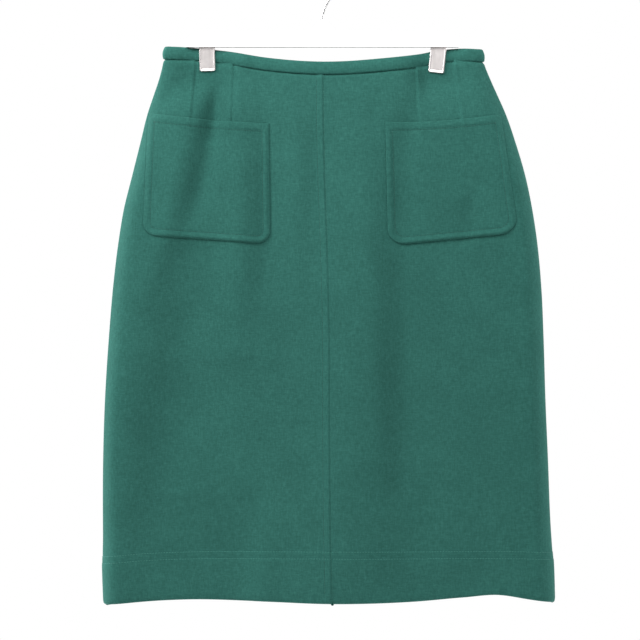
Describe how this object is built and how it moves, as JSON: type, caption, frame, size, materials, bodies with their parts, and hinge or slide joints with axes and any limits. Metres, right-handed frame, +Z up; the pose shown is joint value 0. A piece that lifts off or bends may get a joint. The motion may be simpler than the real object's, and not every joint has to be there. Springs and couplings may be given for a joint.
{
  "type": "pencil skirt on clip hanger",
  "caption": "Knee-length pencil skirt in thick felted wool with two patch pockets and a centre-back zip, hung by its narrow waistband from a clip hanger.",
  "frame": {"origin": "inside of the top of the hook's loop, where it bears on a rail", "axes": "+Z up; the front of the skirt faces -Y; +X to the right as seen from the front"},
  "size_m": [0.5072, 0.0578, 0.73],
  "materials": {
    "wool": "matt felted wool, dark bluish green, lightly heathered",
    "zip_tape": "woven tape, dark green",
    "zip_metal": "satin enamel to match the cloth",
    "hanger_plastic": "smooth white moulded plastic",
    "clip_steel": "satin pressed steel",
    "hook_wire": "bright steel wire"
  },
  "bodies": {
    "skirt": {"front_left": "wool", "front_right": "wool", "back_left": "wool", "back_right": "wool", "waistband_front": "wool", "waistband_back_left": "wool", "waistband_back_right": "wool", "pocket_left": "wool", "pocket_right": "wool", "zip_tape": "zip_tape", "zip_slider": "zip_metal", "hanger_bar": "hanger_plastic", "hook": "hook_wire", "clip_left_front": "clip_steel", "clip_left_back": "clip_steel", "clip_left_pin": "clip_steel", "clip_left_spring": "clip_steel", "clip_right_front": "clip_steel", "clip_right_back": "clip_steel", "clip_right_pin": "clip_steel", "clip_right_spring": "clip_steel"},
    "pull": {"zip_pull": "zip_metal"}
  },
  "joints": [
    {"name": "zip_pull_hinge", "type": "hinge", "parent": "skirt", "child": "pull", "pos_m": [0, 0.01569, -0.1243], "axis": [1, 0, 0], "range_deg": [0, 165]}
  ]
}
